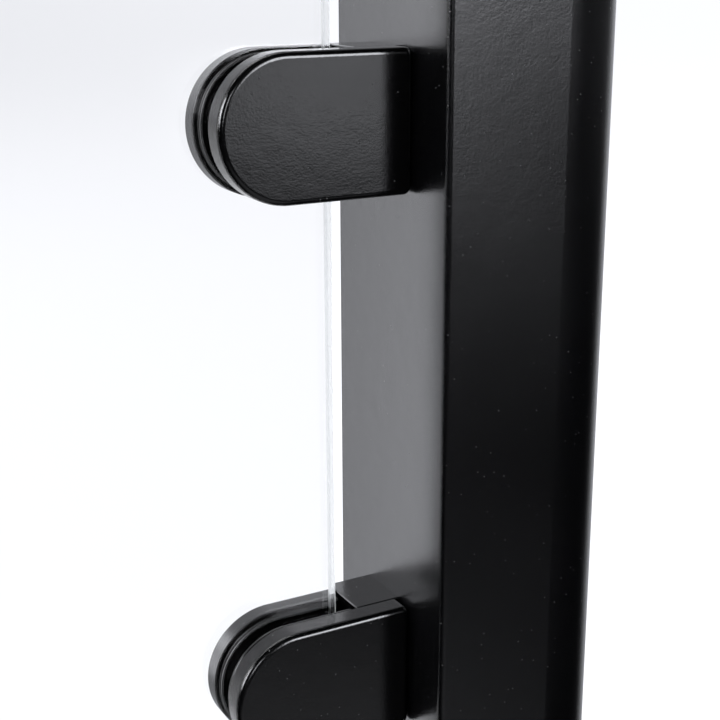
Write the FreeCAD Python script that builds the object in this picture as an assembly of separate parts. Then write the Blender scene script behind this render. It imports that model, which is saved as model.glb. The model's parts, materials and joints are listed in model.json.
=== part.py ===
import FreeCAD, Part
import math
import os

# Low glass kick panel held between two posts by four D-shaped glass clamps.
# Millimetres. +Z up, +X along the panel to the right, -Y is the front.
# The origin is on the floor, midway between the two posts.

# Posts: extruded tubes, flat on three sides and half round on the outer side, with four screw bosses inside
post_flat_length = 43.5
post_depth = 70.0
post_wall = 3.0
post_corner_radius = 2.0
post_inner_radius = 1.0
post_top = 386.0
clear_opening = 500.0
boss_radius = 5.0
boss_bore_radius = 2.5
boss_inset = 7.5

# Base plates
plate_width = 130.0
plate_depth = 130.0
plate_thickness = 10.0
plate_corner_radius = 8.0
plate_edge_chamfer = 1.0
anchor_spacing_x = 100.0
anchor_spacing_y = 100.0
anchor_hole_radius = 5.5

# Post caps
cap_thickness = 4.0
cap_edge_radius = 1.5
cap_skirt_depth = 14.0
cap_skirt_wall = 2.5
cap_skirt_gap = 0.2
cap_boss_gap = 0.5

# Glass panel
panel_thickness = 8.0
panel_height = 320.0
panel_bottom = 30.0
panel_corner_radius = 4.0
panel_arris = 0.6
panel_end_gap = 22.5

# Glass clamps
clamp_length = 64.5
clamp_height = 45.0
clamp_spacing = 186.0
slot_width = 14.5
cover_thickness = 8.0
rear_jaw_thickness = 6.5
bridge_length = 16.5
cover_edge_radius = 2.0
rear_edge_radius = 0.6
slot_edge_radius = 0.5
cover_post_gap = 0.3
cover_corner_radius = 2.5

# Rubber gaskets
gasket_inset = 1.2
gasket_bridge_gap = 1.0
gasket_bead_radius = 0.7

# Clamp cover screws: M6 countersunk, hexagon socket, put in from the back
screw_offset = 14.0
screw_x = -8.25
screw_length = 25.0
screw_shank_radius = 3.0
screw_head_radius = 6.0
screw_head_land = 0.4
screw_socket_flats = 4.0
screw_socket_depth = 2.4
screw_head_recess = 0.2
screw_tip_chamfer = 0.5
screw_hole_radius = 3.35
countersink_gap = 0.4
cover_thread_radius = 3.06
cover_hole_floor = 2.5

# Clamp mounting bolts: M6 socket cap, with spring washer and rivet nut
bolt_shank_radius = 2.95
bolt_length = 25.0
bolt_head_radius = 5.0
bolt_head_height = 6.0
bolt_head_edge_radius = 0.5
bolt_socket_flats = 5.0
bolt_socket_depth = 3.0
bolt_head_recess = 0.5
bolt_hole_radius = 3.3
bolt_counterbore_radius = 5.4
washer_thickness = 1.6
washer_outer_radius = 4.95
washer_inner_radius = 3.1
washer_slit = 1.2
nut_flange_radius = 6.0
nut_flange_thickness = 0.9
nut_body_radius = 4.45
nut_hole_radius = 4.5
nut_bulge_radius = 6.2
nut_bulge_length = 3.0
nut_sleeve_length = 7.0
nut_thread_radius = 3.0
nut_recess_radius = 6.5
nut_recess_depth = 1.0

# Base plate screws: M6 countersunk, up into the bosses of the post
base_screw_length = 30.0
base_screw_shank_radius = 2.45
base_screw_hole_radius = 3.2
base_screw_recess = 0.4

# Worked-out positions
post_round_radius = post_depth / 2
post_width = post_flat_length + post_round_radius
post_round_x = post_width / 2 - post_round_radius
post_centre_x = clear_opening / 2 + post_width / 2
panel_width = clear_opening - 2 * panel_end_gap
panel_centre_z = panel_bottom + panel_height / 2
clamp_centres_z = {
    "upper": panel_centre_z + clamp_spacing / 2,
    "lower": panel_centre_z - clamp_spacing / 2,
}
slot_half = slot_width / 2
panel_half = panel_thickness / 2
clamp_half_height = clamp_height / 2
cover_front_y = -slot_half - cover_thickness
rear_jaw_back_y = slot_half + rear_jaw_thickness

vector = FreeCAD.Vector
axis_x = vector(1, 0, 0)
axis_y = vector(0, 1, 0)
axis_z = vector(0, 0, 1)


def cylinder(radius, start, direction, length):
    return Part.makeCylinder(radius, length, start, direction)


def rounded_bar(width, depth, low_z, high_z, radius):
    """Upright rectangular bar centred on the Z axis, with rounded vertical edges."""
    corner = vector(-width / 2, -depth / 2, low_z)
    bar = Part.makeBox(width, depth, high_z - low_z, corner)
    uprights = [edge for edge in bar.Edges if abs(edge.BoundBox.ZLength - (high_z - low_z)) < 1e-6]
    return bar.makeFillet(radius, uprights)


def post_bar(inset, low_z, high_z, corner_radius):
    """Upright bar with the post's outline, inset all round: flat towards -X, half round towards +X."""
    half = post_depth / 2 - inset
    flat_x = inset - post_width / 2
    front_corner = vector(flat_x, -half, low_z)
    front_tangent = vector(post_round_x, -half, low_z)
    tip = vector(post_round_x + half, 0, low_z)
    back_tangent = vector(post_round_x, half, low_z)
    back_corner = vector(flat_x, half, low_z)
    edges = [
        Part.makeLine(front_corner, front_tangent),
        Part.Arc(front_tangent, tip, back_tangent).toShape(),
        Part.makeLine(back_tangent, back_corner),
        Part.makeLine(back_corner, front_corner),
    ]
    bar = Part.Face(Part.Wire(edges)).extrude(vector(0, 0, high_z - low_z))
    corners = [edge for edge in edges_in_plane(bar, "X", flat_x) if edge.BoundBox.ZLength > 1]
    return bar.makeFillet(corner_radius, corners)


def edges_in_plane(shape, coordinate, value):
    """Edges that lie wholly in the plane where the named coordinate has the value."""
    found = []
    for edge in shape.Edges:
        box = edge.BoundBox
        low = getattr(box, coordinate + "Min")
        high = getattr(box, coordinate + "Max")
        if abs(low - value) < 1e-4 and abs(high - value) < 1e-4:
            found.append(edge)
    return found


def hexagon_pit(across_flats, start, direction, depth):
    """Hexagonal prism for a socket, from start along direction."""
    side = vector(direction.y, direction.z, direction.x)
    other = direction.cross(side)
    corner_radius = across_flats / math.sqrt(3)
    corners = []
    for index in range(7):
        angle = math.radians(60 * index)
        corners.append(start + side * corner_radius * math.cos(angle) + other * corner_radius * math.sin(angle))
    return Part.Face(Part.makePolygon(corners)).extrude(direction * depth)


def countersunk_screw(start, direction, length, shank_radius):
    """Countersunk socket screw whose flat head face is at start; the shank runs along direction."""
    cone_height = screw_head_radius - shank_radius
    land = cylinder(screw_head_radius, start, direction, screw_head_land)
    cone_start = start + direction * screw_head_land
    cone = Part.makeCone(screw_head_radius, shank_radius, cone_height, cone_start, direction)
    shank = cylinder(shank_radius, start, direction, length)
    tip = [edge for edge in shank.Edges if (edge.CenterOfMass - start - direction * length).Length < 1e-4]
    shank = shank.makeChamfer(screw_tip_chamfer, tip)
    screw = land.fuse([cone, shank]).removeSplitter()
    return screw.cut(hexagon_pit(screw_socket_flats, start, direction, screw_socket_depth))


def countersink(start, direction, through, hole_radius, head_recess):
    """Cutting tool for a through hole with a countersink, from the face at start."""
    rim_radius = screw_head_radius + countersink_gap
    straight = screw_head_land + head_recess
    mouth = cylinder(rim_radius, start - direction, direction, 1 + straight)
    cone_height = rim_radius - hole_radius
    cone = Part.makeCone(rim_radius, hole_radius, cone_height, start + direction * straight, direction)
    hole = cylinder(hole_radius, start, direction, through)
    return mouth.fuse([cone, hole])


# --- Clamp, drawn with its post end at X = 0, its nose towards -X and its centre at the origin ---

def d_plate(low_y, high_y, inset=0.0, post_end_x=0.0):
    """Plate between two Y planes: square at the post end, a half circle at the nose."""
    half = clamp_half_height - inset
    centre_x = clamp_half_height - clamp_length
    top_post = vector(post_end_x, low_y, half)
    top_nose = vector(centre_x, low_y, half)
    nose = vector(centre_x - half, low_y, 0)
    bottom_nose = vector(centre_x, low_y, -half)
    bottom_post = vector(post_end_x, low_y, -half)
    edges = [
        Part.makeLine(top_post, top_nose),
        Part.Arc(top_nose, nose, bottom_nose).toShape(),
        Part.makeLine(bottom_nose, bottom_post),
        Part.makeLine(bottom_post, top_post),
    ]
    return Part.Face(Part.Wire(edges)).extrude(vector(0, high_y - low_y, 0))


def screw_places():
    """Axis points, on the rear face, of the two cover screws: bottom, then top."""
    head_y = rear_jaw_back_y
    return [vector(screw_x, head_y, -screw_offset), vector(screw_x, head_y, screw_offset)]


def make_clamp_body():
    """Rear jaw in one piece with the bridge that spaces the jaws and bolts to the post."""
    jaw = d_plate(slot_half, rear_jaw_back_y)
    outer_edges = edges_in_plane(jaw, "Y", rear_jaw_back_y)
    jaw = jaw.makeFillet(rear_edge_radius, [e for e in outer_edges if e.BoundBox.XMin < -1])
    corner = vector(-bridge_length, -slot_half, -clamp_half_height)
    bridge = Part.makeBox(bridge_length, slot_width, clamp_height, corner)
    front_edges = [e for e in edges_in_plane(bridge, "Y", -slot_half) if e.BoundBox.XLength > 1]
    slot_edges = []
    for edge in edges_in_plane(bridge, "X", -bridge_length):
        if edge.BoundBox.YLength > 1:
            slot_edges.append(edge)
    bridge = bridge.makeFillet(slot_edge_radius, front_edges + slot_edges)
    body = jaw.fuse(bridge).removeSplitter()
    jaw_inner_edges = []
    for edge in edges_in_plane(body, "Y", slot_half):
        if edge.BoundBox.XMin < -bridge_length - 1 and edge.BoundBox.XLength > 1:
            jaw_inner_edges.append(edge)
    body = body.makeFillet(slot_edge_radius, jaw_inner_edges)
    for place in screw_places():
        through = rear_jaw_thickness + slot_width + 1
        body = body.cut(countersink(place, axis_y * -1, through, screw_hole_radius, screw_head_recess))
    counterbore_depth = bolt_head_recess + bolt_head_height + washer_thickness
    slot_face = vector(-bridge_length, 0, 0)
    counterbore = cylinder(bolt_counterbore_radius, slot_face - axis_x, axis_x, counterbore_depth + 1)
    bolt_hole = cylinder(bolt_hole_radius, slot_face, axis_x, bridge_length)
    nut_recess = cylinder(nut_recess_radius, vector(0, 0, 0), axis_x * -1, nut_recess_depth)
    return body.cut([counterbore, bolt_hole, nut_recess])


def make_clamp_cover():
    """Front jaw: a separate plate pulled against the bridge by the two cover screws."""
    cover = d_plate(cover_front_y, -slot_half, post_end_x=-cover_post_gap)
    post_end_edges = edges_in_plane(cover, "X", -cover_post_gap)
    corners = [edge for edge in post_end_edges if edge.BoundBox.YLength > 1]
    cover = cover.makeFillet(cover_corner_radius, corners)
    cover = cover.makeFillet(cover_edge_radius, edges_in_plane(cover, "Y", cover_front_y))
    cover = cover.makeFillet(slot_edge_radius, edges_in_plane(cover, "Y", -slot_half))
    hole_depth = cover_thickness - cover_hole_floor
    for place in screw_places():
        mouth = vector(place.x, -slot_half, place.z)
        cover = cover.cut(cylinder(cover_thread_radius, mouth, axis_y * -1, hole_depth))
    return cover


def make_gasket():
    """Rear rubber pad: two D-shaped layers with round edges, so two beads run round its rim."""
    end_x = -bridge_length - gasket_bridge_gap
    middle_y = (panel_half + slot_half) / 2
    beads = []
    for low_y, high_y in ((panel_half, middle_y), (middle_y, slot_half)):
        bead = d_plate(low_y, high_y, gasket_inset, end_x)
        rims = edges_in_plane(bead, "Y", low_y) + edges_in_plane(bead, "Y", high_y)
        beads.append(bead.makeFillet(gasket_bead_radius, rims))
    return beads[0].fuse(beads[1]).removeSplitter()


def make_cover_screws():
    """The two cover screws, bottom then top, their heads just under the rear face."""
    screws = []
    for place in screw_places():
        start = place - axis_y * screw_head_recess
        screws.append(countersunk_screw(start, axis_y * -1, screw_length, screw_shank_radius))
    return screws


def make_mounting_bolt():
    head_start = vector(-bridge_length + bolt_head_recess, 0, 0)
    head = cylinder(bolt_head_radius, head_start, axis_x, bolt_head_height)
    head = head.makeFillet(bolt_head_edge_radius, edges_in_plane(head, "X", head_start.x))
    shank_start = head_start + axis_x * bolt_head_height
    shank = cylinder(bolt_shank_radius, shank_start, axis_x, bolt_length)
    bolt = head.fuse(shank)
    return bolt.cut(hexagon_pit(bolt_socket_flats, head_start, axis_x, bolt_socket_depth))


def make_spring_washer():
    start = vector(-bridge_length + bolt_head_recess + bolt_head_height, 0, 0)
    ring = cylinder(washer_outer_radius, start, axis_x, washer_thickness)
    ring = ring.cut(cylinder(washer_inner_radius, start, axis_x, washer_thickness))
    slit = Part.makeBox(washer_thickness, washer_slit, washer_outer_radius + 1, start - axis_y * washer_slit / 2)
    return ring.cut(slit)


def make_rivet_nut():
    """Blind rivet nut set in the wall of the post: flange outside, bulge and sleeve inside."""
    flange = cylinder(nut_flange_radius, vector(-nut_flange_thickness, 0, 0), axis_x, nut_flange_thickness)
    body = cylinder(nut_body_radius, vector(0, 0, 0), axis_x, post_wall + nut_bulge_length + nut_sleeve_length)
    bulge = cylinder(nut_bulge_radius, vector(post_wall, 0, 0), axis_x, nut_bulge_length)
    nut = flange.fuse([body, bulge])
    total = nut_flange_thickness + post_wall + nut_bulge_length + nut_sleeve_length
    return nut.cut(cylinder(nut_thread_radius, vector(-nut_flange_thickness, 0, 0), axis_x, total))


# --- Post, drawn upright on the Z axis with its clamp side towards -X ---

def boss_centres():
    """Axes of the four screw bosses: two in the flat side's corners, two against the round side."""
    centres = []
    corner_x = boss_inset - post_width / 2
    corner_y = post_depth / 2 - boss_inset
    reach = (post_round_radius - boss_inset) * math.sqrt(0.5)
    for side in (-1, 1):
        centres.append(vector(corner_x, side * corner_y, 0))
        centres.append(vector(post_round_x + reach, side * reach, 0))
    return centres


def make_post_tube():
    top = post_top - cap_thickness
    tube = post_bar(0, plate_thickness, top, post_corner_radius)
    tube = tube.cut(post_bar(post_wall, plate_thickness, top, post_inner_radius))
    height = top - plate_thickness
    for centre in boss_centres():
        foot = centre + axis_z * plate_thickness
        tube = tube.fuse(cylinder(boss_radius, foot, axis_z, height))
    for centre in boss_centres():
        foot = centre + axis_z * plate_thickness
        tube = tube.cut(cylinder(boss_bore_radius, foot, axis_z, height))
    for centre_z in clamp_centres_z.values():
        wall_face = vector(-post_width / 2, 0, centre_z)
        tube = tube.cut(cylinder(nut_hole_radius, wall_face, axis_x, post_wall))
    return tube.removeSplitter()


def make_post_cap():
    """Flat cap with a rounded top edge and a skirt, cut away round the bosses, that plugs into the tube."""
    low = post_top - cap_thickness
    bottom = low - cap_skirt_depth
    lid = post_bar(0, low, post_top, post_corner_radius)
    lid = lid.makeFillet(cap_edge_radius, edges_in_plane(lid, "Z", post_top))
    skirt_inset = post_wall + cap_skirt_gap
    skirt = post_bar(skirt_inset, bottom, low, post_inner_radius)
    skirt = skirt.cut(post_bar(skirt_inset + cap_skirt_wall, bottom, low, post_inner_radius))
    for centre in boss_centres():
        skirt = skirt.cut(cylinder(boss_radius + cap_boss_gap, centre + axis_z * bottom, axis_z, cap_skirt_depth))
    return lid.fuse(skirt).removeSplitter()


def make_base_plate():
    plate = rounded_bar(plate_width, plate_depth, 0, plate_thickness, plate_corner_radius)
    plate = plate.makeChamfer(plate_edge_chamfer, edges_in_plane(plate, "Z", plate_thickness))
    for side_x in (-1, 1):
        for side_y in (-1, 1):
            foot = vector(side_x * anchor_spacing_x / 2, side_y * anchor_spacing_y / 2, 0)
            plate = plate.cut(cylinder(anchor_hole_radius, foot, axis_z, plate_thickness))
    for centre in boss_centres():
        plate = plate.cut(countersink(centre, axis_z, plate_thickness, base_screw_hole_radius, base_screw_recess))
    return plate


def make_base_plate_screws():
    screws = []
    for centre in boss_centres():
        start = centre + axis_z * base_screw_recess
        screws.append(countersunk_screw(start, axis_z, base_screw_length, base_screw_shank_radius))
    return Part.makeCompound(screws)


def make_glass_panel():
    corner = vector(-panel_width / 2, -panel_half, panel_bottom)
    panel = Part.makeBox(panel_width, panel_thickness, panel_height, corner)
    across = [e for e in panel.Edges if e.BoundBox.YLength > panel_thickness - 1e-3]
    panel = panel.makeFillet(panel_corner_radius, across)
    arrises = edges_in_plane(panel, "Y", -panel_half) + edges_in_plane(panel, "Y", panel_half)
    return panel.makeChamfer(panel_arris, arrises)


# --- Assembly ---

def placed(shape, turned, turn_axis, position):
    """Copy of a shape, turned half a turn about the axis if asked, then moved."""
    copy = shape.copy()
    if turned:
        copy.rotate(vector(0, 0, 0), turn_axis, 180)
    copy.translate(position)
    return copy


def make_clamp_pieces():
    """Every piece of one clamp, by name."""
    rear_gasket = make_gasket()
    bottom_screw, top_screw = make_cover_screws()
    return {
        "clamp_body": make_clamp_body(),
        "clamp_cover": make_clamp_cover(),
        "rear_gasket": rear_gasket,
        "front_gasket": rear_gasket.mirror(vector(0, 0, 0), axis_y),
        "cover_screw_bottom": bottom_screw,
        "cover_screw_top": top_screw,
        "mounting_bolt": make_mounting_bolt(),
        "spring_washer": make_spring_washer(),
        "rivet_nut": make_rivet_nut(),
    }


def make_post_pieces():
    """Every piece of one post, by name."""
    return {
        "post_tube": make_post_tube(),
        "post_cap": make_post_cap(),
        "base_plate": make_base_plate(),
        "base_plate_screws": make_base_plate_screws(),
    }


def make_assembly():
    """All nodes: the left side's parts are the right side's, turned round."""
    nodes = {"glass_panel": make_glass_panel()}
    turned_names = {"cover_screw_bottom": "cover_screw_top", "cover_screw_top": "cover_screw_bottom"}
    post_pieces = make_post_pieces()
    clamp_pieces = make_clamp_pieces()
    for side, sign in (("right", 1), ("left", -1)):
        turned = sign < 0
        for name, shape in post_pieces.items():
            nodes[side + "_" + name] = placed(shape, turned, axis_z, vector(sign * post_centre_x, 0, 0))
        for level, centre_z in clamp_centres_z.items():
            position = vector(sign * clear_opening / 2, 0, centre_z)
            for name, shape in clamp_pieces.items():
                final_name = turned_names.get(name, name) if turned else name
                node = side + "_" + level + "_" + final_name
                nodes[node] = placed(shape, turned, axis_y, position)
    return nodes


os.makedirs("parts", exist_ok=True)
for node_name, node_shape in make_assembly().items():
    if not node_shape.isValid():
        print("invalid shape:", node_name)
    node_shape.exportStep(os.path.join("parts", node_name + ".step"))
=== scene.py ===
import bpy
import json
import math
from mathutils import Matrix, Vector


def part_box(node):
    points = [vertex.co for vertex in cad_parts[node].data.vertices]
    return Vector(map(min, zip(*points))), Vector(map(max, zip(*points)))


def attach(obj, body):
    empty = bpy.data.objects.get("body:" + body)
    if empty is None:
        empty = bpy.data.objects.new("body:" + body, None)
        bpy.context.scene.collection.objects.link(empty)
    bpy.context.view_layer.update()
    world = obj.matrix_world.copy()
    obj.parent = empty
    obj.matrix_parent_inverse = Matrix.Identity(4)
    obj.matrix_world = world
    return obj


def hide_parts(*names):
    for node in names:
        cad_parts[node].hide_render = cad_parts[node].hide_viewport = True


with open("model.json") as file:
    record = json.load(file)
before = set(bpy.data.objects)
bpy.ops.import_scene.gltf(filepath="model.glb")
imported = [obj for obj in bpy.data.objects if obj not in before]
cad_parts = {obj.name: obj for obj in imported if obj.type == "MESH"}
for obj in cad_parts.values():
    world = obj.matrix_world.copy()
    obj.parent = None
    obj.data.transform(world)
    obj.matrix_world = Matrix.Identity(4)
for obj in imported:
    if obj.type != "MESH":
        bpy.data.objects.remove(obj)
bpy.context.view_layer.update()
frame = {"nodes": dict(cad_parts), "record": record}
nodes = frame["nodes"]

MM = 0.001


# ------------------------------------------------------------------ node helpers

# Sockets of a Mix node, by number because their names repeat.
COLOUR_A, COLOUR_B, COLOUR_RESULT = 6, 7, 2
VALUE_A, VALUE_B, VALUE_RESULT = 2, 3, 0

# Most of a noise's values lie between these two.
NOISE_LOW = 0.3
NOISE_HIGH = 0.7


def new_material(name):
    """Empty material; returns it with its node tree and output node."""
    material = bpy.data.materials.new(name)
    material.use_nodes = True
    tree = material.node_tree
    tree.nodes.clear()
    output = tree.nodes.new("ShaderNodeOutputMaterial")
    return material, tree, output


def feed(tree, socket, value):
    """Links the value to the socket if it is a socket itself, or else sets it there."""
    if isinstance(value, bpy.types.NodeSocket):
        tree.links.new(value, socket)
    else:
        socket.default_value = value


def add_node(tree, kind, **inputs):
    """New node with its named inputs fed; an underscore stands for a space in an input's name."""
    node = tree.nodes.new(kind)
    for name, value in inputs.items():
        feed(tree, node.inputs[name.replace("_", " ")], value)
    return node


def object_coordinates(tree):
    return tree.nodes.new("ShaderNodeTexCoord").outputs["Object"]


def noise(tree, coordinates, scale, detail=2.0, roughness=0.5):
    """Noise of about scale features per metre."""
    node = add_node(
        tree, "ShaderNodeTexNoise", Vector=coordinates, Scale=scale, Detail=detail, Roughness=roughness
    )
    return node.outputs["Fac"]


def remap(tree, value, from_low, from_high, to_low, to_high, kind="LINEAR"):
    """The value carried from one range to another and kept inside it."""
    node = add_node(
        tree, "ShaderNodeMapRange",
        Value=value, From_Min=from_low, From_Max=from_high, To_Min=to_low, To_Max=to_high,
    )
    node.interpolation_type = kind
    return node.outputs["Result"]


def spread(tree, pattern, low, high):
    """Stretches a noise over the range from low to high."""
    return remap(tree, pattern, NOISE_LOW, NOISE_HIGH, low, high)


def smooth_step(tree, value, start, stop, low=0.0, high=1.0):
    """Smooth change from low to high while the value goes from start to stop; start may be the larger."""
    if start > stop:
        start, stop, low, high = stop, start, high, low
    return remap(tree, value, start, stop, low, high, "SMOOTHSTEP")


def colour_between(tree, factor, low, high):
    """Mix of two colours, each with its alpha or as a socket."""
    node = tree.nodes.new("ShaderNodeMix")
    node.data_type = "RGBA"
    tree.links.new(factor, node.inputs["Factor"])
    feed(tree, node.inputs[COLOUR_A], low)
    feed(tree, node.inputs[COLOUR_B], high)
    return node.outputs[COLOUR_RESULT]


def shade(colour, factor=1.0):
    """The colour times the factor, with the alpha that a socket needs."""
    return (*(factor * channel for channel in colour), 1.0)


def maths(tree, operation, *values):
    node = tree.nodes.new("ShaderNodeMath")
    node.operation = operation
    for socket, value in zip(node.inputs, values):
        feed(tree, socket, value)
    return node.outputs[0]


def bump(tree, height, depth, strength=1.0, normal=None):
    """Relief whose height pattern of 0 to 1 stands for depth metres, on top of an earlier normal."""
    node = add_node(tree, "ShaderNodeBump", Height=height, Strength=strength, Distance=depth)
    if normal is not None:
        tree.links.new(normal, node.inputs["Normal"])
    return node.outputs["Normal"]


def mix_shaders(tree, factor, first, second):
    node = tree.nodes.new("ShaderNodeMixShader")
    feed(tree, node.inputs["Fac"], factor)
    tree.links.new(first, node.inputs[1])
    tree.links.new(second, node.inputs[2])
    return node.outputs[0]


def skin(tree, output, colour, roughness, normal):
    """Principled shader fed with a colour, a roughness and a normal, joined to the material's output."""
    shader = add_node(tree, "ShaderNodeBsdfPrincipled", Base_Color=colour, Roughness=roughness, Normal=normal)
    tree.links.new(shader.outputs[0], output.inputs["Surface"])
    return shader


# ------------------------------------------------------------------ materials

# Scales are features per metre.
GRAIN_SCALE = 1500.0
PEEL_SCALE = 0.5 * GRAIN_SCALE
PEEL_DEPTH_SHARE = 0.6
WAVE_SCALE = 150.0
WAVE_DEPTH = 0.04 * MM
MOTTLE_SCALE = 1300.0
MOTTLE_DARK = 0.4
MOTTLE_LIGHT = 1.8
CLOUD_SCALE = 16.0
CLOUD_GLOSSIER = 0.02
CLOUD_DULLER = 0.03
COAT_IOR = 1.5

# A speck of dust fades in between these distances from a Voronoi point, in cells.
DUST_SCALE = 280.0
DUST_RIM = 0.075
DUST_CORE = 0.04
DUST_HEIGHT = 0.1 * MM
DUST_GREY = (0.11, 0.11, 0.11)


def powder_coat(name, colour, roughness, grain_depth):
    """Black powder coat: fine grain on orange peel, a mottled tone, clouded gloss and specks of dust."""
    material, tree, output = new_material(name)
    coordinates = object_coordinates(tree)
    grain = noise(tree, coordinates, GRAIN_SCALE, detail=3.0, roughness=0.6)
    peel = noise(tree, coordinates, PEEL_SCALE)
    wave = noise(tree, coordinates, WAVE_SCALE)
    mottle = noise(tree, coordinates, MOTTLE_SCALE, detail=1.0)
    cloud = noise(tree, coordinates, CLOUD_SCALE, detail=3.0)
    dust = add_node(tree, "ShaderNodeTexVoronoi", Vector=coordinates, Scale=DUST_SCALE)
    speck = smooth_step(tree, dust.outputs["Distance"], DUST_RIM, DUST_CORE)
    mottling = spread(tree, mottle, 0.0, 1.0)
    tone = colour_between(tree, mottling, shade(colour, MOTTLE_DARK), shade(colour, MOTTLE_LIGHT))
    dusty_tone = colour_between(tree, speck, tone, shade(DUST_GREY))
    gloss = spread(tree, cloud, roughness - CLOUD_GLOSSIER, roughness + CLOUD_DULLER)
    swell = bump(tree, wave, WAVE_DEPTH)
    coarse = bump(tree, peel, PEEL_DEPTH_SHARE * grain_depth, normal=swell)
    fine = bump(tree, grain, grain_depth, normal=coarse)
    relief = bump(tree, speck, DUST_HEIGHT, normal=fine)
    shader = skin(tree, output, dusty_tone, gloss, relief)
    shader.inputs["IOR"].default_value = COAT_IOR
    return material


RUBBER_SCALE = 180.0
RUBBER_DARK = (0.002, 0.002, 0.002)
RUBBER_BLOOM = (0.006, 0.006, 0.006)
RUBBER_ROUGHNESS = (0.2, 0.28)
RUBBER_DEPTH = 0.02 * MM


def rubber(name):
    """Smooth black rubber with a soft gloss and a faint bloom."""
    material, tree, output = new_material(name)
    cloud = noise(tree, object_coordinates(tree), RUBBER_SCALE, detail=3.0)
    tone = colour_between(tree, cloud, shade(RUBBER_DARK), shade(RUBBER_BLOOM))
    gloss = spread(tree, cloud, *RUBBER_ROUGHNESS)
    skin(tree, output, tone, gloss, bump(tree, cloud, RUBBER_DEPTH, strength=0.5))
    return material


MOULD_SCALE = 1600.0
MOULD_DARK = (0.008, 0.008, 0.008)
MOULD_LIGHT = (0.014, 0.014, 0.015)
MOULD_ROUGHNESS = (0.42, 0.56)
MOULD_DEPTH = 0.08 * MM


def moulded_plastic(name):
    """Black plastic with the fine spark grain of a mould."""
    material, tree, output = new_material(name)
    grain = noise(tree, object_coordinates(tree), MOULD_SCALE)
    tone = colour_between(tree, grain, shade(MOULD_DARK), shade(MOULD_LIGHT))
    gloss = spread(tree, grain, *MOULD_ROUGHNESS)
    skin(tree, output, tone, gloss, bump(tree, grain, MOULD_DEPTH, strength=0.8))
    return material


STEEL_SCALE = 900.0
STEEL_DARKER = 0.8
STEEL_GLOSSIER = 0.06
STEEL_DULLER = 0.08
STEEL_DEPTH = 0.03 * MM


def steel(name, tint, roughness):
    """Bare or plated steel with a finely mottled tint and gloss."""
    material, tree, output = new_material(name)
    marks = noise(tree, object_coordinates(tree), STEEL_SCALE, detail=4.0)
    tone = colour_between(tree, marks, shade(tint, STEEL_DARKER), shade(tint))
    gloss = spread(tree, marks, roughness - STEEL_GLOSSIER, roughness + STEEL_DULLER)
    shader = skin(tree, output, tone, gloss, bump(tree, marks, STEEL_DEPTH, strength=0.4))
    shader.inputs["Metallic"].default_value = 1.0
    return material


GLASS_TINT = (0.87, 0.87, 0.87)
GLASS_IOR = 1.49
GLASS_FILM = 0.012
FILM_SCALE = 9.0
GRIND_SCALE = 700.0
GRIND_WHITE = (0.93, 0.96, 0.97)
GRIND_LEAST = 0.8
GRIND_MOST = 1.2
CLEAR_TINT = (0.95, 0.965, 0.97)


def glass(name, roughness=0.0, frosting=0.0, see_through=0.0):
    """
    Clear glass that lets the lamps' light straight through.
    frosting is the share of ground white in it, and see_through the share that doesn't refract.
    """
    material, tree, output = new_material(name)
    coordinates = object_coordinates(tree)
    film = noise(tree, coordinates, FILM_SCALE, detail=4.0)
    clear = add_node(
        tree, "ShaderNodeBsdfPrincipled",
        Base_Color=shade(GLASS_TINT), Transmission_Weight=1.0, IOR=GLASS_IOR,
        Roughness=spread(tree, film, roughness, roughness + GLASS_FILM),
    )
    plain = add_node(tree, "ShaderNodeBsdfTransparent", Color=shade(CLEAR_TINT))
    path = tree.nodes.new("ShaderNodeLightPath")
    surface = clear.outputs[0]
    if frosting > 0:
        ground = add_node(tree, "ShaderNodeBsdfTranslucent", Color=shade(GRIND_WHITE))
        grind = noise(tree, coordinates, GRIND_SCALE, detail=3.0)
        share = spread(tree, grind, frosting * GRIND_LEAST, frosting * GRIND_MOST)
        surface = mix_shaders(tree, share, surface, ground.outputs[0])
    if see_through > 0:
        surface = mix_shaders(tree, see_through, surface, plain.outputs[0])
    surface = mix_shaders(tree, path.outputs["Is Shadow Ray"], surface, plain.outputs[0])
    tree.links.new(surface, output.inputs["Surface"])
    return material


POST_BLACK = (0.0011, 0.0011, 0.0013)
CLAMP_BLACK = (0.0011, 0.0011, 0.0012)
STAINLESS_TINT = (0.62, 0.61, 0.59)
ZINC_TINT = (0.60, 0.63, 0.68)

MATERIALS = {
    "post_coating": powder_coat("post_coating", POST_BLACK, roughness=0.22, grain_depth=0.028 * MM),
    "clamp_coating": powder_coat("clamp_coating", CLAMP_BLACK, roughness=0.16, grain_depth=0.024 * MM),
    "cap_plastic": moulded_plastic("cap_plastic"),
    "gasket_rubber": rubber("gasket_rubber"),
    "panel_glass": glass("panel_glass"),
    "stainless_steel": steel("stainless_steel", STAINLESS_TINT, roughness=0.28),
    "zinc_steel": steel("zinc_steel", ZINC_TINT, roughness=0.3),
}
for part in frame["record"]["subparts"]:
    for material_slot in nodes[part["node"]].material_slots:
        material_slot.material = MATERIALS[part["material_slot"]]


# ------------------------------------------------------------------ glass panel

PANEL_ARRIS = 0.6 * MM
PANEL_CORNER = 4.0 * MM
CORNER_STEPS = 8
QUARTER_TURN = 90
FACE, EDGE, ARRIS = range(3)


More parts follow.
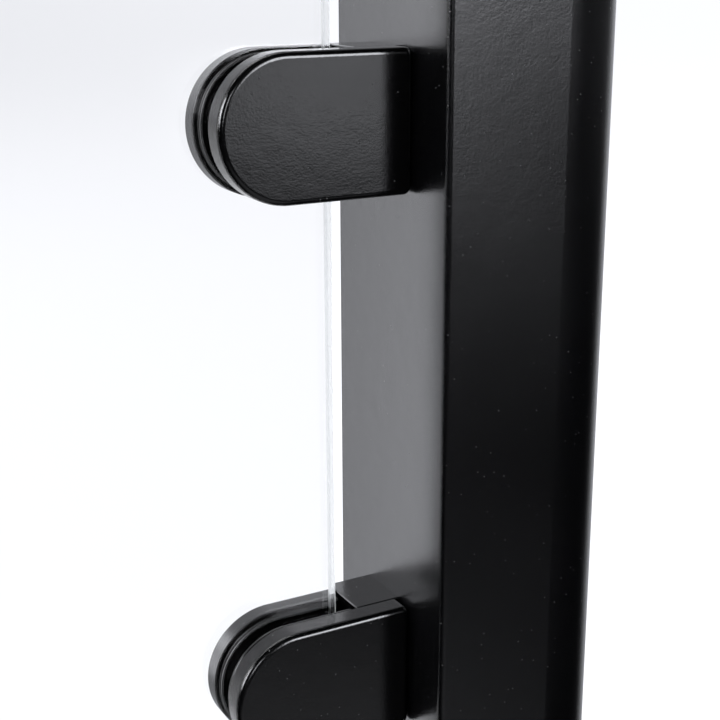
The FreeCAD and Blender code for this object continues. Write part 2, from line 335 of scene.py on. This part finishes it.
def make_panel():
    """Glass panel with clear faces, polished edges and whitish ground arrises."""
    low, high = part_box("glass_panel")
    left, right = low.x + PANEL_CORNER, high.x - PANEL_CORNER
    bottom, top = low.z + PANEL_CORNER, high.z - PANEL_CORNER
    centres = ((right, top), (left, top), (left, bottom), (right, bottom))
    layers = (
        (low.y, PANEL_ARRIS),
        (low.y + PANEL_ARRIS, 0.0),
        (high.y - PANEL_ARRIS, 0.0),
        (high.y, PANEL_ARRIS),
    )
    points = []
    for y, inset in layers:
        reach = PANEL_CORNER - inset
        for corner, (centre_x, centre_z) in enumerate(centres):
            for step in range(CORNER_STEPS + 1):
                angle = math.radians(QUARTER_TURN * corner + QUARTER_TURN * step / CORNER_STEPS)
                points.append((centre_x + reach * math.cos(angle), y, centre_z + reach * math.sin(angle)))
    count = len(points) // len(layers)
    faces = [tuple(range(count)), tuple(reversed(range(len(points) - count, len(points))))]
    kinds = [FACE, FACE]
    for layer, kind in enumerate((ARRIS, EDGE, ARRIS)):
        for index in range(count):
            after = (index + 1) % count
            below = layer * count
            above = below + count
            faces.append((below + after, below + index, above + index, above + after))
            kinds.append(kind)
    mesh = bpy.data.meshes.new("glass_sheet")
    mesh.from_pydata(points, [], faces)
    mesh.materials.append(MATERIALS["panel_glass"])
    mesh.materials.append(glass("panel_edge", roughness=0.12, frosting=0.35, see_through=0.6))
    mesh.materials.append(glass("panel_arris", roughness=0.3, frosting=0.65, see_through=0.45))
    for polygon, kind in zip(mesh.polygons, kinds):
        polygon.material_index = kind
    mesh.validate()
    mesh.update()
    panel = bpy.data.objects.new("glass_sheet", mesh)
    bpy.context.collection.objects.link(panel)
    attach(panel, "root")
    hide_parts("glass_panel")


make_panel()


# ------------------------------------------------------------------ lamps and floor

def lamp(name, size, position, target, watts):
    """Soft area lamp that lights surfaces; the painted studio of make_world is what mirrors see."""
    data = bpy.data.lights.new(name, "AREA")
    data.shape = "RECTANGLE"
    data.size, data.size_y = size
    data.energy = watts
    thing = bpy.data.objects.new(name, data)
    thing.location = position
    thing.rotation_mode = "QUATERNION"
    thing.rotation_quaternion = (Vector(position) - Vector(target)).to_track_quat("Z", "Y")
    thing.visible_glossy = False
    bpy.context.collection.objects.link(thing)


FLOOR_REACH = 40
FLOOR_DROP = 0.5 * MM
FLOOR_COLOUR = (0.3, 0.303, 0.31)
FLOOR_GLOW = (0.955, 0.965, 1.0)
FLOOR_GLOW_STRENGTH = 0.84


def make_floor():
    """Pale glowing floor, a little under the base plates so that no two faces share a plane."""
    mesh = bpy.data.meshes.new("floor")
    corners = ((-1, -1), (1, -1), (1, 1), (-1, 1))
    points = [(FLOOR_REACH * x, FLOOR_REACH * y, -FLOOR_DROP) for x, y in corners]
    mesh.from_pydata(points, [], [(0, 1, 2, 3)])
    floor = bpy.data.objects.new("floor", mesh)
    bpy.context.collection.objects.link(floor)
    floor.visible_glossy = False
    material, tree, output = new_material("pale_floor")
    diffuse = add_node(tree, "ShaderNodeBsdfDiffuse", Color=shade(FLOOR_COLOUR))
    glow = add_node(tree, "ShaderNodeEmission", Color=shade(FLOOR_GLOW), Strength=FLOOR_GLOW_STRENGTH)
    both = tree.nodes.new("ShaderNodeAddShader")
    tree.links.new(diffuse.outputs[0], both.inputs[0])
    tree.links.new(glow.outputs[0], both.inputs[1])
    tree.links.new(both.outputs[0], output.inputs["Surface"])
    floor.data.materials.append(material)


# ------------------------------------------------------------------ painted studio

# Directions are in degrees. The heading is 0 in front of the panel, at -Y, and grows to the right,
# to 180 at the back; the height is 0 at the horizon.
# A step is where it starts and stops, and its brightness before and after.
LOW_WALL = (-60, -10, 0.5, 1.2)
HIGH_WALL = (0, 18, 0.0, 1.2)
CORNICE = (35, 62, 0.0, -1.6)
BEHIND = (100, 125, 0.0, 0.7)

# A window is where it starts, becomes full, stops being full, and ends.
WINDOW_LEFT = (-153, -146, -128, -112)
WINDOW_LEFT_STRENGTH = 2.9

# A patch is its window of headings, its window of heights, and its brightness.
SOFTBOX = ((4, 22, 32, 42), (-1, 8, 24, 32), 16.0)
GLOW = ((19, 25, 30, 36), (-9.3, -7, -5, -3), 2.2)
SIDE = ((-96, -88, -78, -70), (0, 8, 26, 36), 22.0)
FRONT_LEFT = ((-30, -26, -20, -16), (0, 6, 20, 28), 9.0)
RIGHT_GLOW = ((44, 75, 110, 140), (-14, 0, 20, 40), 0.12)

# Light under the softbox, which climbs towards it and ends inside it.
SKIRT = (8, 28, 32, 42)
SKIRT_CLIMB = (-20, -2, 0.0, 1.0)
SKIRT_POWER = 3.2
SKIRT_END = (0, 12, 1.0, 0.0)
SKIRT_STRENGTH = 1.35

# Light from the floor in front, brighter further down.
GROUND = (-60, 0, 30, 44)
GROUND_STEP = (-24, -33, 0.05, 0.44)

DARK_ROOM = 0.004
WORLD_COLOUR = (0.93, 0.945, 1.0)

# Light on matt surfaces, by the Y of its direction: weak from the front, full from the back.
AMBIENT = (-0.35, 0.25, 0.25, 1.0)


def make_world():
    """
    World with three looks: glossy rays see the painted studio, camera and transmitted rays an even
    pale white, and the others the ambient light.
    """
    world = bpy.data.worlds.new("studio")
    bpy.context.scene.world = world
    world.use_nodes = True
    # A sampled world isn't told which kind of ray asks, so gloss would mirror the ambient light as well.
    world.cycles.sampling_method = "NONE"
    tree = world.node_tree
    tree.nodes.clear()
    output = tree.nodes.new("ShaderNodeOutputWorld")
    direction = tree.nodes.new("ShaderNodeTexCoord").outputs["Generated"]
    parts = add_node(tree, "ShaderNodeSeparateXYZ", Vector=direction)
    degrees = math.degrees(1.0)

    def product(first, second):
        return maths(tree, "MULTIPLY", first, second)

    def total_of(*lights):
        total = lights[0]
        for light in lights[1:]:
            total = maths(tree, "ADD", total, light)
        return total

    def window(value, start, full, last, end):
        """1 between full and last, fading to 0 at start and end."""
        rise = smooth_step(tree, value, start, full)
        fall = smooth_step(tree, value, last, end, 1.0, 0.0)
        return product(rise, fall)

    def patch(headings, heights, strength):
        return product(product(window(heading, *headings), window(height, *heights)), strength)

    frontness = product(parts.outputs["Y"], -1.0)
    heading = product(maths(tree, "ARCTAN2", parts.outputs["X"], frontness), degrees)
    turned = maths(tree, "ABSOLUTE", heading)
    height = product(maths(tree, "ARCSINE", parts.outputs["Z"]), degrees)

    low_wall = smooth_step(tree, height, *LOW_WALL)
    high_wall = smooth_step(tree, height, *HIGH_WALL)
    cornice = smooth_step(tree, height, *CORNICE)
    behind = smooth_step(tree, turned, *BEHIND)
    window_left = product(window(heading, *WINDOW_LEFT), WINDOW_LEFT_STRENGTH)
    wall = product(total_of(low_wall, high_wall, cornice), total_of(behind, window_left))

    climb = maths(tree, "POWER", remap(tree, height, *SKIRT_CLIMB), SKIRT_POWER)
    climb_and_end = product(climb, smooth_step(tree, height, *SKIRT_END))
    skirt = product(product(window(heading, *SKIRT), climb_and_end), SKIRT_STRENGTH)
    ground = product(window(heading, *GROUND), smooth_step(tree, height, *GROUND_STEP))

    front = total_of(wall, patch(*SOFTBOX), skirt, patch(*GLOW), ground)
    studio = total_of(front, patch(*SIDE), patch(*FRONT_LEFT), patch(*RIGHT_GLOW), DARK_ROOM)

    path = tree.nodes.new("ShaderNodeLightPath")
    reflected = tree.nodes.new("ShaderNodeMix")
    tree.links.new(path.outputs["Is Glossy Ray"], reflected.inputs["Factor"])
    tree.links.new(remap(tree, parts.outputs["Y"], *AMBIENT), reflected.inputs[VALUE_A])
    tree.links.new(studio, reflected.inputs[VALUE_B])
    seen = maths(tree, "MAXIMUM", path.outputs["Is Camera Ray"], path.outputs["Is Transmission Ray"])
    unseen = maths(tree, "SUBTRACT", 1.0, seen)
    strength = total_of(product(reflected.outputs[VALUE_RESULT], unseen), seen)
    background = add_node(tree, "ShaderNodeBackground", Color=shade(WORLD_COLOUR), Strength=strength)
    tree.links.new(background.outputs[0], output.inputs["Surface"])


# ------------------------------------------------------------------ camera

# Angles are in degrees: to the right of +Y, down, and round the line of sight.
CAMERA_HEADING = 28.6385
CAMERA_PITCH = 16.639
CAMERA_ROLL = -0.236
CAMERA_FROM_CORNER = (-0.21526, -0.33943, 0.04911)
CAMERA_LENS = 67.876
CAMERA_SENSOR = 36.0
CAMERA_CLIP = 0.01


def make_camera():
    """
    Camera where the photographer stood: low in front of the panel, looking right and down.
    Its place is given from the right post's inner front corner, level with the upper clamp.
    """
    post_low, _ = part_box("right_post_tube")
    clamp_low, clamp_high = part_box("right_upper_clamp_body")
    corner = Vector((post_low.x, post_low.y, (clamp_low.z + clamp_high.z) / 2))
    heading = math.radians(CAMERA_HEADING)
    pitch = math.radians(CAMERA_PITCH)
    roll = math.radians(CAMERA_ROLL)
    forward = Vector((
        math.sin(heading) * math.cos(pitch),
        math.cos(heading) * math.cos(pitch),
        -math.sin(pitch),
    ))
    level = Vector((math.cos(heading), -math.sin(heading), 0.0))
    upright = level.cross(forward)
    right = level * math.cos(roll) + upright * math.sin(roll)
    up = upright * math.cos(roll) - level * math.sin(roll)
    data = bpy.data.cameras.new("camera")
    data.sensor_width = CAMERA_SENSOR
    data.lens = CAMERA_LENS
    data.clip_start = CAMERA_CLIP
    camera = bpy.data.objects.new("camera", data)
    bpy.context.collection.objects.link(camera)
    turn = Matrix((right, up, -forward)).transposed().to_4x4()
    camera.matrix_world = Matrix.Translation(corner + Vector(CAMERA_FROM_CORNER)) @ turn
    bpy.context.scene.camera = camera


make_floor()
make_world()
lamp("top", size=(2.4, 1.6), position=(-0.3, 0.6, 2.2), target=(0, 0, 0.1), watts=38)
lamp("left", size=(1.2, 1.6), position=(-2.0, 0.9, 1.0), target=(0.2, 0, 0.2), watts=22)
make_camera()
bpy.context.scene.view_settings.view_transform = "Standard"
